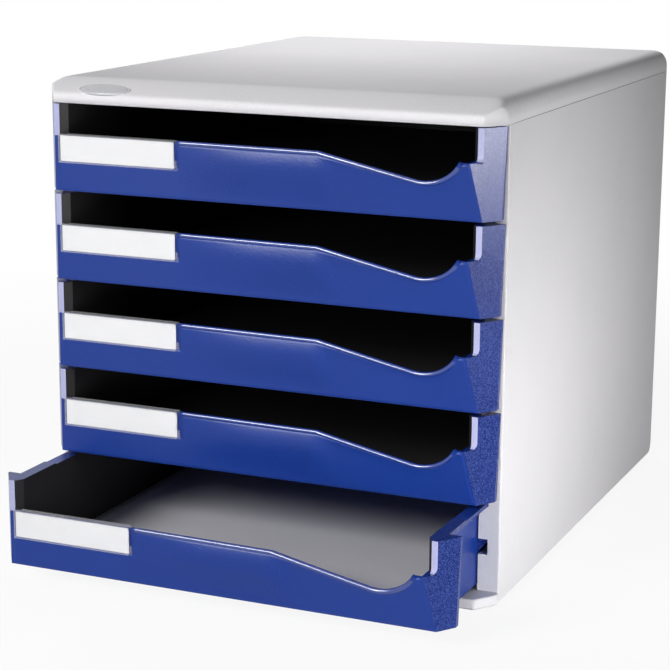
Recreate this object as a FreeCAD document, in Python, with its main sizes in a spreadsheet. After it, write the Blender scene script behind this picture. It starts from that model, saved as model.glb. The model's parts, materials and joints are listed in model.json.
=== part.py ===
import FreeCAD, Part
import math
import os
import re
import Sketcher

# Desktop drawer organizer: a moulded housing with five sliding drawers.
# Millimetres. X runs to the right seen from the front, Y to the back, Z up.
# The origin is the centre of the housing's footprint, on the desk.

doc = FreeCAD.newDocument("drawer_organizer")

# Driving sizes
SIZES = {
    "overall_width": 285.0,
    "overall_height": 290.0,
    "overall_depth": 355.0,
    "corner_run": 9.0,  # slanted front corner, measured across
    "corner_depth": 13.0,  # the same corner, measured front to back
    "corner_round": 4.0,
    "foot_diameter": 12.0,
    "foot_height": 2.5,
    "foot_recess": 1.0,
    "foot_side_inset": 20.0,
    "foot_end_inset": 28.0,
    "base_thickness": 3.5,
    "base_lip_height": 6.7,
    "base_round": 2.0,
    "lip_round": 1.2,
    "post_setback": 17.0,  # front of the side panels behind the front plane
    "post_thickness": 3.0,
    "side_thickness": 13.0,
    "skin_thickness": 2.5,
    "rib_thickness": 2.0,
    "heel_radius": 9.0,  # lower back corner of the housing
    "edge_round": 1.2,
    "lid_height": 14.0,
    "lid_lip": 5.0,
    "lid_slope_run": 19.0,
    "lid_edge_drop": 0.6,
    "lid_round": 12.0,
    "lid_wall": 2.5,
    "tongue_height": 4.0,
    "tongue_thickness": 1.5,
    "tongue_inset": 1.0,
    "fit_gap": 0.2,
    "back_thickness": 2.5,
    "back_inset": 3.0,
    "back_groove_depth": 3.0,
    "back_frame": 8.5,
    "badge_length": 34.0,
    "badge_width": 11.0,
    "badge_thickness": 1.2,
    "badge_inset": 32.0,
    "drawer_gap": 2.3,
    "top_gap": 0.7,
    "tray_gap": 0.9,
    "tray_wall": 1.8,
    "tray_back_gap": 5.0,
    "floor_thickness": 2.0,
    "floor_lift": 1.0,
    "mat_thickness": 0.8,
    "mat_gap": 1.0,
    "rim_width": 7.8,
    "rim_thickness": 3.0,
    "rim_step": 0.8,
    "rim_step_place": 41.0,
    "runner_drop": 23.0,
    "runner_height": 8.2,
    "runner_width": 6.0,
    "runner_start": 78.0,
    "runner_end_gap": 7.0,
    "slot_gap": 0.5,
    "stop_reach": 2.2,
    "stop_length": 8.0,
    "drawer_travel": 250.0,
    "bottom_drawer_open": 60.0,
    "front_thickness": 2.6,
    "rim_drop": 18.5,  # top of the front below the top of its corner posts
    "post_strip": 3.5,
    "post_flare": 5.0,
    "post_fillet": 3.5,
    "wing_edge": 1.2,
    "tip_taper": 1.4,
    "flare_left": 1.2,  # how far the top of the front leans out, at the label
    "flare_right": 8.1,  # the same at the grip end
    "flare_start": 53.0,  # where the lean begins to grow, left of the middle
    "grip_start": 38.0,
    "grip_trough": 101.0,
    "grip_depth": 12.7,
    "grip_radius": 26.0,
    "bead_radius": 1.4,
    "label_margin": 0.3,
    "label_width": 76.0,
    "label_height": 16.8,
    "label_gap": 2.2,
    "holder_depth": 2.55,
    "holder_wall": 0.8,
    "holder_lip": 1.05,
    "hook_depth": 4.0,
    "card_thickness": 0.5,
    "card_gap": 0.15,
}
DRAWER_COUNT = 5

# Sizes that follow from the driving ones
DERIVED = {
    "half_width": "overall_width / 2",
    "half_depth": "overall_depth / 2",
    "vertex": "half_width - corner_run",  # where the flat front turns into the slanted corner
    "foot_rise": "foot_height - foot_recess",
    "panel_bottom": "foot_rise + base_thickness",
    "base_top": "foot_rise + base_lip_height",
    "lid_bottom": "overall_height - lid_height",
    "post_face": "-half_depth + post_setback",
    "guide": "half_width - side_thickness",  # inner face of a side panel
    "panel_height": "lid_bottom - panel_bottom",
    "back_face": "half_depth - back_inset",
    "drawer_top": "lid_bottom - top_gap",
    "pitch": "(drawer_top - base_top) / %d" % DRAWER_COUNT,
    "front_height": "pitch - drawer_gap",
    "tray_side": "guide - tray_gap",
    "tray_inside": "tray_side - tray_wall",
    "tray_back": "back_face - back_thickness - tray_back_gap",
    "floor_top": "-front_height + floor_lift + floor_thickness",
    "runner_edge": "tray_side + runner_width",
    "slot_edge": "runner_edge + slot_gap",
    "wing_back": "-half_depth + corner_depth + wing_edge",
    "post_inside": "vertex - post_strip",
    "panel_rise": "front_height - rim_drop",  # height of the leaning front
    "floor_share": "(front_height + floor_top) / panel_rise",
    "stop_front": "post_face + post_thickness + drawer_travel + slot_gap",
    "label_left": "-post_inside + label_margin",
    "label_right": "label_left + label_width",
    "grip_low": "-rim_drop - grip_depth",
    "grip_peak": "grip_trough + sqrt(grip_radius^2 - (grip_radius - grip_depth)^2)",
    "card_front": "-half_depth - holder_depth + holder_wall + card_gap",
}


def in_sheet(text):
    """Expression with every size name written out as a cell of the sheet."""
    def swap(match):
        name = match.group(0)
        if name in DERIVED:
            return "(" + in_sheet(DERIVED[name]) + ")"
        if name in SIZES:
            return "Sizes." + name
        return name
    return re.sub(r"[a-z_]{4,}", swap, text)


sheet = doc.addObject("Spreadsheet::Sheet", "Sizes")
for row, (name, number) in enumerate(SIZES.items(), start=1):
    sheet.set("A%d" % row, name)
    sheet.set("B%d" % row, str(number))
    sheet.setAlias("B%d" % row, name)
doc.recompute()


def value(text):
    """Number that an expression in size names stands for."""
    return float(sheet.evalExpression(in_sheet(text)))


def new_body(name):
    body = doc.addObject("PartDesign::Body", name)
    body.Label = name
    return body


def origin_plane(body, role):
    return [item for item in body.Origin.OriginFeatures if item.Role == role + "_Plane"][0]


def empty_sketch(body, name, plane, offset):
    """Sketch on one of the body's own planes, moved along the plane's normal."""
    sketch = body.newObject("Sketcher::SketchObject", name)
    sketch.AttachmentSupport = [(origin_plane(body, plane), "")]
    sketch.MapMode = "FlatFace"
    sketch.setExpression("AttachmentOffset.Base.z", in_sheet(offset))
    return sketch


def place_point(sketch, geometry, point, corner):
    """Hold one end of a line at a pair of expressions."""
    for kind, text in zip(("DistanceX", "DistanceY"), corner):
        number = sketch.addConstraint(Sketcher.Constraint(kind, -1, 1, geometry, point, value(text)))
        sketch.setExpression("Constraints[%d]" % number, in_sheet(text))


def outline(body, name, plane, loops, offset="0"):
    """Sketch of closed polygons whose corners are pairs of expressions."""
    sketch = empty_sketch(body, name, plane, offset)
    for corners in loops:
        points = [FreeCAD.Vector(value(u), value(v), 0) for u, v in corners]
        first = sketch.GeometryCount
        for index, point in enumerate(points):
            sketch.addGeometry(Part.LineSegment(point, points[(index + 1) % len(points)]), False)
        for index in range(len(points)):
            after = first + (index + 1) % len(points)
            sketch.addConstraint(Sketcher.Constraint("Coincident", first + index, 2, after, 1))
        for index, corner in enumerate(corners):
            place_point(sketch, first + index, 1, corner)
    return sketch


def box_loop(left, right, low, high):
    return [(left, low), (right, low), (right, high), (left, high)]


def grown(body, before, feature, wanted):
    """Recompute and make sure that the feature changed the body the right way."""
    doc.recompute()
    change = body.Shape.Volume - before
    if wanted * change <= 0:
        raise RuntimeError("%s changed the volume by %.3f" % (feature.Name, change))


def raise_by(body, sketch, length, backwards=False):
    """Pad a sketch by an expression's length."""
    before = body.Shape.Volume if not body.Shape.isNull() else 0.0
    pad = body.newObject("PartDesign::Pad", sketch.Name + "_pad")
    pad.Profile = sketch
    pad.setExpression("Length", in_sheet(length))
    pad.Reversed = backwards
    grown(body, before, pad, 1)
    return pad


def cut_by(body, sketch, length, backwards=False):
    """Pocket a sketch by an expression's length."""
    before = body.Shape.Volume
    pocket = body.newObject("PartDesign::Pocket", sketch.Name + "_pocket")
    pocket.Profile = sketch
    pocket.setExpression("Length", in_sheet(length))
    pocket.Reversed = backwards
    grown(body, before, pocket, -1)
    return pocket


def loft_between(body, kind, low, high):
    """Ruled loft from a lower to an upper sketch: Additive or Subtractive."""
    before = body.Shape.Volume
    loft = body.newObject("PartDesign::%sLoft" % kind, low.Name + "_loft")
    loft.Profile = low
    loft.Sections = [high]
    loft.Ruled = True
    grown(body, before, loft, 1 if kind == "Additive" else -1)
    return loft


def mirrored(body, features):
    """Repeat features on the other side of the middle plane."""
    before = body.Shape.Volume
    mirror = body.newObject("PartDesign::Mirrored", features[0].Name + "_mirror")
    mirror.Originals = features
    mirror.MirrorPlane = (origin_plane(body, "YZ"), [""])
    body.Tip = mirror
    doc.recompute()
    if abs(body.Shape.Volume - before) < 1.0:
        raise RuntimeError(mirror.Name + " changed nothing")
    return mirror


def edges_near(shape, test):
    """Names of the edges whose middle point and direction pass the test."""
    names = []
    for number, edge in enumerate(shape.Edges, start=1):
        middle = edge.valueAt((edge.FirstParameter + edge.LastParameter) / 2)
        along = edge.tangentAt((edge.FirstParameter + edge.LastParameter) / 2)
        if test(middle, along):
            names.append("Edge%d" % number)
    return names


def round_edges(body, name, radius, test):
    """Fillet the body's edges that pass the test."""
    base = body.Tip
    names = edges_near(base.Shape, test)
    if not names:
        raise RuntimeError(name + " finds no edge")
    fillet = body.newObject("PartDesign::Fillet", name)
    fillet.Base = (base, names)
    fillet.setExpression("Radius", in_sheet(radius))
    doc.recompute()
    return fillet


def close(first, second, reach=0.05):
    return abs(first - second) < reach


def shared_part(name, form, limit):
    """What a form and a limiting body have in common."""
    common = doc.addObject("Part::Common", name)
    common.Label = name
    common.Base = form
    common.Tool = limit
    doc.recompute()
    return common


def at_plan_corner(middle, along):
    """Upright edge at one end of a slanted corner."""
    front, side = value("-half_depth"), value("half_width")
    at_front = close(abs(middle.x), value("vertex")) and close(middle.y, front)
    at_side = close(abs(middle.x), side) and close(middle.y, front + value("corner_depth"))
    return close(abs(along.z), 1) and (at_front or at_side)


# Plan outline shared by the lid and the base: slanted corners at the front
PLAN = [
    ("-vertex", "-half_depth"),
    ("vertex", "-half_depth"),
    ("half_width", "-half_depth + corner_depth"),
    ("half_width", "half_depth"),
    ("-half_width", "half_depth"),
    ("-half_width", "-half_depth + corner_depth"),
]


# Side profile of the housing, with its round heel, which the base and the side panels are kept within
def make_profile():
    profile = new_body("housing_profile")
    sides = outline(profile, "profile_outline", "YZ", [box_loop(
        "-half_depth - 1", "half_depth", "foot_rise", "overall_height")], "-half_width - 1")
    raise_by(profile, sides, "overall_width + 2")
    back, low = value("half_depth"), value("foot_rise")
    round_edges(profile, "heel", "heel_radius",
                lambda middle, along: close(middle.y, back) and close(middle.z, low))
    return profile


# Lid: rounded along both sides, with a sloping front band above an upright lip
def make_lid():
    lid = new_body("lid_form")
    front = outline(lid, "lid_block", "XZ", [box_loop("-half_width", "half_width", "0", "lid_height")],
                    "half_depth")
    raise_by(lid, front, "overall_depth", backwards=True)
    top, side = value("lid_height"), value("half_width")
    round_edges(lid, "lid_side_round", "lid_round",
                lambda middle, along: close(middle.z, top) and close(abs(middle.x), side))
    band = [
        ("-half_depth - 5", "lid_lip"),
        ("-half_depth", "lid_lip"),
        ("-half_depth + lid_slope_run / 2", "(lid_lip + lid_height) / 2 + lid_edge_drop"),
        ("-half_depth + lid_slope_run", "lid_height"),
        ("-half_depth + lid_slope_run", "lid_height + 5"),
        ("-half_depth - 5", "lid_height + 5"),
    ]
    slope = outline(lid, "lid_band", "YZ", [band], "-half_width - 1")
    cut_by(lid, slope, "overall_width + 2", backwards=True)
    hollow = outline(lid, "lid_hollow", "XY", [box_loop(
        "-guide", "guide", "-half_depth + lid_slope_run", "half_depth - back_frame")], "0")
    cut_by(lid, hollow, "lid_height - lid_wall", backwards=True)
    groove_inner = "half_width - tongue_inset - tongue_thickness - fit_gap"
    groove_outer = "half_width - tongue_inset + fit_gap"
    groove_ends = ("post_face + 20 - fit_gap", "half_depth - 20 + fit_gap")
    grooves = outline(lid, "lid_grooves", "XY", [
        box_loop(groove_inner, groove_outer, *groove_ends),
        box_loop("-(%s)" % groove_outer, "-(%s)" % groove_inner, *groove_ends)], "0")
    cut_by(lid, grooves, "tongue_height + fit_gap", backwards=True)
    plan = new_body("lid_plan")
    raise_by(plan, outline(plan, "lid_outline", "XY", [PLAN]), "lid_height")
    round_edges(plan, "lid_corner_round", "corner_round", at_plan_corner)
    for body in (lid, plan):
        body.setExpression("Placement.Base.z", in_sheet("lid_bottom"))
    return shared_part("lid", lid, plan)


# Badge: a plain oval plate on the sloping band of the lid
def make_badge():
    badge = new_body("badge")
    sketch = empty_sketch(badge, "badge_oval", "XY", "0")
    centre = FreeCAD.Vector(0, 0, 0)
    oval = Part.Ellipse(centre, value("badge_length / 2"), value("badge_width / 2"))
    number = sketch.addGeometry(oval, False)
    sketch.exposeInternalGeometry(number)
    sketch.addConstraint(Sketcher.Constraint("Coincident", number, 3, -1, 1))
    for line, size in ((1, "badge_length"), (2, "badge_width")):
        length = sketch.addConstraint(Sketcher.Constraint("Distance", line, 1, line, 2, value(size)))
        sketch.setExpression("Constraints[%d]" % length, in_sheet(size))
    sketch.addConstraint(Sketcher.Constraint("Horizontal", 1))
    raise_by(badge, sketch, "badge_thickness")
    run = "lid_slope_run / 2"
    rise = "(lid_height + lid_lip) / 2 + lid_edge_drop - lid_lip"
    badge.Placement.Rotation.Axis = FreeCAD.Vector(1, 0, 0)
    badge.setExpression("Placement.Rotation.Angle", in_sheet("atan((%s) / (%s))" % (rise, run)))
    badge.setExpression("Placement.Base.x", in_sheet("-vertex + badge_inset"))
    badge.setExpression("Placement.Base.y", in_sheet("-half_depth + (%s) / 2" % run))
    badge.setExpression("Placement.Base.z", in_sheet("lid_bottom + lid_lip + (%s) / 2" % rise))
    return badge


# Base: a plate under the whole housing, with a raised lip in front of the posts
def make_base(profile):
    base = new_body("base_form")
    plate = outline(base, "base_outline", "XY", [PLAN], "foot_rise")
    raise_by(base, plate, "base_thickness")
    lip = [
        ("-vertex", "-half_depth"),
        ("vertex", "-half_depth"),
        ("half_width", "-half_depth + corner_depth"),
        ("half_width", "post_face"),
        ("-half_width", "post_face"),
        ("-half_width", "-half_depth + corner_depth"),
    ]
    raised = outline(base, "base_lip", "XY", [lip], "panel_bottom")
    raise_by(base, raised, "base_lip_height - base_thickness")
    round_edges(base, "base_corner_round", "corner_round", at_plan_corner)
    low, high, back, shelf = (value(name) for name in ("foot_rise", "base_top", "half_depth", "post_face"))
    round_edges(base, "base_edge_round", "base_round",
                lambda middle, along: close(middle.z, low) and not close(middle.y, back))
    round_edges(base, "base_lip_round", "lip_round",
                lambda middle, along: close(middle.z, high) and middle.y < shelf - 1)
    sockets = empty_sketch(base, "foot_sockets", "XY", "foot_rise")
    for across, along in foot_places():
        number = sockets.addGeometry(Part.Circle(FreeCAD.Vector(value(across), value(along), 0),
                                                 FreeCAD.Vector(0, 0, 1), value("foot_diameter / 2 + fit_gap / 2")))
        place_point(sockets, number, 3, (across, along))
        radius = sockets.addConstraint(Sketcher.Constraint("Radius", number, value("foot_diameter / 2")))
        sockets.setExpression("Constraints[%d]" % radius, in_sheet("foot_diameter / 2 + fit_gap / 2"))
    cut_by(base, sockets, "foot_recess", backwards=True)
    return shared_part("base_plate", base, profile)


def foot_places():
    across = "half_width - foot_side_inset"
    along = "half_depth - foot_end_inset"
    return [(sign_x + "(" + across + ")", sign_y + "(" + along + ")")
            for sign_x in ("", "-") for sign_y in ("", "-")]


# Rubber feet: four pads seated in the sockets of the base
def make_feet():
    pads = []
    for number, (across, along) in enumerate(foot_places(), start=1):
        pad = doc.addObject("Part::Cylinder", "foot_%d" % number)
        pad.setExpression("Radius", in_sheet("foot_diameter / 2"))
        pad.setExpression("Height", in_sheet("foot_height"))
        pad.setExpression("Placement.Base.x", in_sheet(across))
        pad.setExpression("Placement.Base.y", in_sheet(along))
        pads.append(pad)
    feet = doc.addObject("Part::Compound", "rubber_feet")
    feet.Label = "rubber_feet"
    feet.Links = pads
    return feet


# Side panel: a skin with a front post, and ribs that form the channels of the five drawers
def make_side_panel(profile):
    panel = new_body("panel_form")
    block = outline(panel, "panel_outline", "YZ", [box_loop(
        "post_face", "half_depth", "panel_bottom", "lid_bottom")], "guide")
    raise_by(panel, block, "side_thickness")
    side, face = value("half_width"), value("post_face")
    round_edges(panel, "panel_front_round", "edge_round",
                lambda middle, along: close(middle.y, face) and close(middle.x, side))
    tongue = outline(panel, "panel_tongue", "XY", [box_loop(
        "half_width - tongue_inset - tongue_thickness", "half_width - tongue_inset",
        "post_face + 20", "half_depth - 20")], "lid_bottom")
    raise_by(panel, tongue, "tongue_height")

    inside = ("post_face + post_thickness", "half_depth - back_frame")
    rim_low = "drawer_top - rim_thickness - slot_gap"
    runner_high = "drawer_top - runner_drop + slot_gap"
    runner_low = "drawer_top - runner_drop - runner_height - slot_gap"
    chambers = [
        (rim_low, "drawer_top + top_gap"),
        (runner_high + " + rib_thickness", rim_low + " - rib_thickness"),
        (runner_low, runner_high),
        ("drawer_top - pitch + top_gap + rib_thickness", runner_low + " - rib_thickness"),
    ]
    loops = [box_loop(inside[0], inside[1], low_side, high_side) for low_side, high_side in chambers]
    channels = outline(panel, "channels", "YZ", loops, "guide")
    first = cut_by(panel, channels, "side_thickness - skin_thickness", backwards=True)
    slots = outline(panel, "post_slots", "XZ", [
        box_loop("guide - 1", "slot_edge", rim_low, "drawer_top + top_gap"),
        box_loop("guide - 1", "slot_edge", runner_low, runner_high)], "-post_face")
    second = cut_by(panel, slots, "post_thickness + 1")
    before = panel.Shape.Volume
    rows = panel.newObject("PartDesign::LinearPattern", "drawer_rows")
    rows.Originals = [first, second]
    rows.Direction = (channels, ["V_Axis"])
    rows.Reversed = True
    rows.setExpression("Length", in_sheet("pitch * %d" % (DRAWER_COUNT - 1)))
    rows.Occurrences = DRAWER_COUNT
    panel.Tip = rows
    grown(panel, before, rows, -1)
    groove = outline(panel, "back_groove", "XY", [box_loop(
        "guide - 1", "guide + back_groove_depth + fit_gap",
        "back_face - back_thickness - fit_gap", "back_face + fit_gap")], "panel_bottom")
    cut_by(panel, groove, "panel_height", backwards=True)
    return shared_part("right_side_panel", panel, profile)


# Back panel: slides into the grooves of both side panels
def make_back():
    back = new_body("back_panel")
    sheet_outline = outline(back, "back_outline", "XZ", [box_loop(
        "-guide - back_groove_depth", "guide + back_groove_depth", "panel_bottom", "lid_bottom")],
        "-back_face")
    raise_by(back, sheet_outline, "back_thickness")
    return back


# Drawer tray, drawn with its top at Z 0 and closed. The front leans out towards the grip end.
def make_tray():
    tray = new_body("tray_form")
    shell = outline(tray, "tray_block", "XY", [box_loop(
        "-tray_side", "tray_side", "-half_depth + post_flare", "tray_back")], "-front_height + floor_lift")
    raise_by(tray, shell, "front_height - floor_lift - rim_step")
    room = outline(tray, "tray_room", "XY", [box_loop(
        "-tray_inside", "tray_inside", "-half_depth", "tray_back - tray_wall")], "0")
    cut_by(tray, room, "-floor_top")

    # Front block between the planes of the slanted corners
    reach = "corner_run / corner_depth * flare_right"
    block = outline(tray, "front_block", "XY", [[
        ("-vertex + " + reach, "-half_depth - flare_right"),
        ("vertex - " + reach, "-half_depth - flare_right"),
        ("vertex", "-half_depth"),
        ("post_inside", "-half_depth + post_flare"),
        ("-post_inside", "-half_depth + post_flare"),
        ("-vertex", "-half_depth"),
    ]], "-front_height")
    raise_by(tray, block, "panel_rise")

    # Outer face: upright at the label, leaning out more and more to the right
    def face(across, lean, height, name, back):
        """Sketch of what lies before or behind the face at one height."""
        line = [("-flare_start", "flare_left"), (across, "flare_right")]
        corners = [("-" + across, "-half_depth - flare_left * (%s) + %s" % (lean, back[0]))]
        corners += [(x, "-half_depth - %s * (%s) + %s" % (y, lean, back[0])) for x, y in line]
        corners += [(across, back[1]), ("-" + across, back[1])]
        return outline(tray, name, "XY", [corners], height)

    ahead = ("0", "-half_depth - flare_right - 4")
    low = face("half_width", "0", "-front_height", "face_low", ahead)
    high = face("half_width", "1", "-rim_drop", "face_high", ahead)
    loft_between(tray, "Subtractive", low, high)
    behind = ("front_thickness", "-half_depth + post_flare + 1")
    low = face("tray_inside", "floor_share", "floor_top", "inside_low", behind)
    high = face("tray_inside", "1", "-rim_drop", "inside_high", behind)
    loft_between(tray, "Subtractive", low, high)

    # Corner post with its slanted wing, rim and runner on the right, then mirrored
    def wing(name, height, taper):
        return outline(tray, name, "XY", [[
            ("post_inside", "-half_depth"),
            ("vertex", "-half_depth"),
            ("half_width - wing_edge / 4 - %s" % taper,
             "-half_depth + corner_depth - corner_depth / corner_run * (%s + wing_edge / 4)" % taper),
            ("half_width - wing_edge / 4 - %s" % taper, "wing_back"),
            ("tray_inside", "wing_back"),
            ("tray_inside", "-half_depth + post_flare"),
        ]], height)

    post = loft_between(tray, "Additive", wing("wing_low", "-front_height", "tip_taper"),
                        wing("wing_high", "0", "0"))
    gusset = outline(tray, "post_gusset", "YZ", [[
        ("-half_depth + 0.5", "-rim_drop - 0.5"),
        ("-half_depth - post_fillet", "-rim_drop - 0.5"),
        ("-half_depth - post_fillet", "-rim_drop"),
        ("-half_depth - post_fillet * 0.5", "-rim_drop + post_fillet * 0.134"),
        ("-half_depth - post_fillet * 0.134", "-rim_drop + post_fillet * 0.5"),
        ("-half_depth", "-rim_drop + post_fillet"),
        ("-half_depth + 0.5", "-rim_drop + post_fillet"),
    ]], "post_inside")
    raise_by(tray, gusset, "post_strip")
    trim = outline(tray, "gusset_trim", "XY", [[
        ("vertex", "-half_depth"),
        ("vertex - corner_run", "-half_depth - corner_depth"),
        ("half_width", "-half_depth - corner_depth"),
        ("half_width", "-half_depth"),
    ]], "-rim_drop")
    cut_by(tray, trim, "post_fillet + 1", backwards=True)
    rim = outline(tray, "rim", "YZ", [[
        ("wing_back - 1", "-rim_thickness"),
        ("tray_back", "-rim_thickness"),
        ("tray_back", "-rim_step"),
        ("-half_depth + rim_step_place", "-rim_step"),
        ("-half_depth + rim_step_place", "0"),
        ("wing_back - 1", "0"),
    ]], "tray_inside")
    rim = raise_by(tray, rim, "rim_width")
    runner = outline(tray, "runner", "XZ", [[
        ("tray_side - tray_wall / 2", "-runner_drop"),
        ("runner_edge", "-runner_drop"),
        ("runner_edge", "-runner_drop - 0.8"),
        ("tray_side", "-runner_drop - runner_height"),
        ("tray_side - tray_wall / 2", "-runner_drop - runner_height"),
    ]], "half_depth - runner_start")
    runner = raise_by(tray, runner, "tray_back - runner_end_gap + half_depth - runner_start", backwards=True)
    stop = outline(tray, "stop", "XZ", [box_loop(
        "tray_side - tray_wall / 2", "runner_edge + stop_reach",
        "-runner_drop - runner_height", "-runner_drop")], "-stop_front")
    stop = raise_by(tray, stop, "stop_length", backwards=True)
    mirrored(tray, [post, rim, runner, stop])

    # Finger grip: a long slope, a round trough and a sharp peak
    sketch = empty_sketch(tray, "grip", "XZ", "half_depth + flare_right + 5")
    start = FreeCAD.Vector(value("grip_start"), value("-rim_drop"), 0)
    centre = FreeCAD.Vector(value("grip_trough"), value("grip_low + grip_radius"), 0)
    radius = value("grip_radius")
    slope_angle = 1.5 * math.pi - 0.21
    peak_angle = 2 * math.pi - 0.54
    trough = Part.ArcOfCircle(Part.Circle(centre, FreeCAD.Vector(0, 0, 1), radius), slope_angle, peak_angle)
    peak = trough.EndPoint
    above = value("-rim_drop") + 2.0
    for piece in (
        Part.LineSegment(start, trough.StartPoint),
        trough,
        Part.LineSegment(peak, FreeCAD.Vector(peak.x, above, 0)),
        Part.LineSegment(FreeCAD.Vector(peak.x, above, 0), FreeCAD.Vector(start.x, above, 0)),
        Part.LineSegment(FreeCAD.Vector(start.x, above, 0), start),
    ):
        sketch.addGeometry(piece, False)
    for joint in ((1, 2, 2, 1), (2, 2, 3, 1), (3, 2, 4, 1), (4, 2, 0, 1)):
        sketch.addConstraint(Sketcher.Constraint("Coincident", *joint))
    sketch.addConstraint(Sketcher.Constraint("Tangent", 0, 2, 1, 1))
    sketch.addConstraint(Sketcher.Constraint("Vertical", 2))
    sketch.addConstraint(Sketcher.Constraint("Horizontal", 3))
    sketch.addConstraint(Sketcher.Constraint("Vertical", 4))
    place_point(sketch, 0, 1, ("grip_start", "-rim_drop"))
    place_point(sketch, 1, 3, ("grip_trough", "grip_low + grip_radius"))
    number = sketch.addConstraint(Sketcher.Constraint("Radius", 1, radius))
    sketch.setExpression("Constraints[%d]" % number, in_sheet("grip_radius"))
    for geometry, point, text in ((1, 2, "-rim_drop"), (3, 1, "-rim_drop + 2")):
        number = sketch.addConstraint(Sketcher.Constraint("DistanceY", -1, 1, geometry, point, value(text)))
        sketch.setExpression("Constraints[%d]" % number, in_sheet(text))
    doc.recompute()
    cut_by(tray, sketch, "flare_right + front_thickness + 10")

    # Shallow seat for the label holder
    seat = outline(tray, "label_seat", "XZ", [box_loop(
        "label_left - fit_gap", "label_right + label_gap",
        "-rim_drop + holder_lip - label_height - fit_gap", "-rim_drop + 1")], "half_depth + 5")
    cut_by(tray, seat, "5")
    return tray


# Rolled bead along the top of the front and round the grip, on the front's own edge
def make_bead(tray):
    front = value("-half_depth")
    left = value("label_right + label_gap")
    peak = value("grip_peak")
    low, high = value("grip_low"), value("-rim_drop")

    def on_edge(edge):
        middle = edge.valueAt((edge.FirstParameter + edge.LastParameter) / 2)
        along = edge.tangentAt((edge.FirstParameter + edge.LastParameter) / 2)
        lean = value("flare_left") + (middle.x + value("flare_start")) * value(
            "(flare_right - flare_left) / (half_width + flare_start)")
        outer = front - lean * (middle.z + value("front_height")) / value("panel_rise")
        return (left - 0.5 < middle.x < peak and low - 0.1 < middle.z < high + 0.1
                and abs(along.x) > 0.3 and abs(middle.y - outer) < 0.6)

    path = Part.Wire(Part.sortEdges([edge for edge in tray.Shape.Edges if on_edge(edge)])[0])
    radius = value("bead_radius")
    stations = []
    for point in path.discretize(Deflection=radius / 30):
        if not stations or point.distanceToPoint(stations[-1]) > radius:
            stations.append(point)
    rings = []
    for index, point in enumerate(stations):
        along = stations[min(index + 1, len(stations) - 1)] - stations[max(index - 1, 0)]
        rings.append(ring_across(point, along, radius))
    bead = doc.addObject("Part::Feature", "bead")
    bead.Shape = Part.makeLoft(rings, True, True)
    whole = doc.addObject("Part::Fuse", "tray_with_bead")
    whole.Base = tray
    whole.Tool = bead
    whole.Refine = False
    doc.recompute()
    return whole


def ring_across(point, along, radius):
    """Eight-sided ring round a point, square to a direction."""
    along.normalize()
    level = FreeCAD.Vector(0, 1, 0) - along * along.y
    level.normalize()
    rise = along.cross(level)
    corners = [point + (level * math.cos(angle) + rise * math.sin(angle)) * radius
               for angle in [math.pi / 8 + math.pi / 4 * side for side in range(8)]]
    return Part.makePolygon(corners + corners[:1])


# Label holder: a clear sleeve that hooks over the front's top edge, open at the right
def make_holder():
    holder = new_body("holder_form")
    back = "-half_depth - 0.05"
    front = "-half_depth - holder_depth"
    top = "-rim_drop + holder_lip"
    hook = "-half_depth - flare_left + front_thickness + 0.35"
    profile = outline(holder, "holder_section", "YZ", [[
        (front, top + " - label_height"),
        (back, top + " - label_height"),
        (back, "-rim_drop + 0.05"),
        (hook, "-rim_drop + 0.05"),
        (hook, top + " - hook_depth"),
        (hook + " + holder_wall", top + " - hook_depth"),
        (hook + " + holder_wall", top),
        (front, top),
    ]], "label_left")
    raise_by(holder, profile, "label_width")
    slot = outline(holder, "card_slot", "YZ", [box_loop(
        "card_front - card_gap", "card_front + card_thickness + card_gap",
        top + " - label_height + holder_wall", top + " - holder_wall")], "label_left + holder_wall")
    cut_by(holder, slot, "label_width", backwards=True)
    corner = outline(holder, "post_clearance", "XY", [box_loop(
        "label_left - 1", "-tray_inside + fit_gap", back, hook + " + holder_wall + 1")],
        top + " - label_height - 1")
    cut_by(holder, corner, "label_height + 2", backwards=True)
    tab = outline(holder, "holder_tab", "XY", [box_loop(
        "label_right - 0.1", "label_right + label_gap - 0.5", front + " + 0.5", back)],
        top + " - label_height + 1.5")
    raise_by(holder, tab, "4")
    return holder


# Card in the sleeve
def make_card():
    card = new_body("card_form")
    top = "-rim_drop + holder_lip - holder_wall - card_gap"
    sheet_outline = outline(card, "card_outline", "XZ", [box_loop(
        "label_left + holder_wall + card_gap", "label_right - card_gap",
        top + " - label_height + 2 * holder_wall + 2 * card_gap", top)], "-card_front")
    raise_by(card, sheet_outline, "card_thickness", backwards=True)
    return card


# Mat: a loose grey sheet on the tray's floor
def make_mat():
    mat = new_body("mat_form")
    sheet_outline = outline(mat, "mat_outline", "XY", [box_loop(
        "-tray_inside + mat_gap", "tray_inside - mat_gap",
        "-half_depth + front_thickness + mat_gap", "tray_back - tray_wall - mat_gap")], "floor_top")
    raise_by(mat, sheet_outline, "mat_thickness")
    return mat


def placed(form, number, name):
    """One drawer's copy of a form, at its own height; the bottom drawer stands open."""
    copy = doc.addObject("Part::Compound", "drawer_%d_%s" % (number, name))
    copy.Label = "drawer_%d_%s" % (number, name)
    copy.Links = [form]
    copy.setExpression("Placement.Base.z", in_sheet("drawer_top - pitch * %d" % (number - 1)))
    if number == DRAWER_COUNT:
        copy.setExpression("Placement.Base.y", in_sheet("-bottom_drawer_open"))
    return copy


def mirror_image(source, name):
    mirror = doc.addObject("Part::Mirroring", name)
    mirror.Label = name
    mirror.Source = source
    mirror.Normal = FreeCAD.Vector(1, 0, 0)
    return mirror


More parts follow.
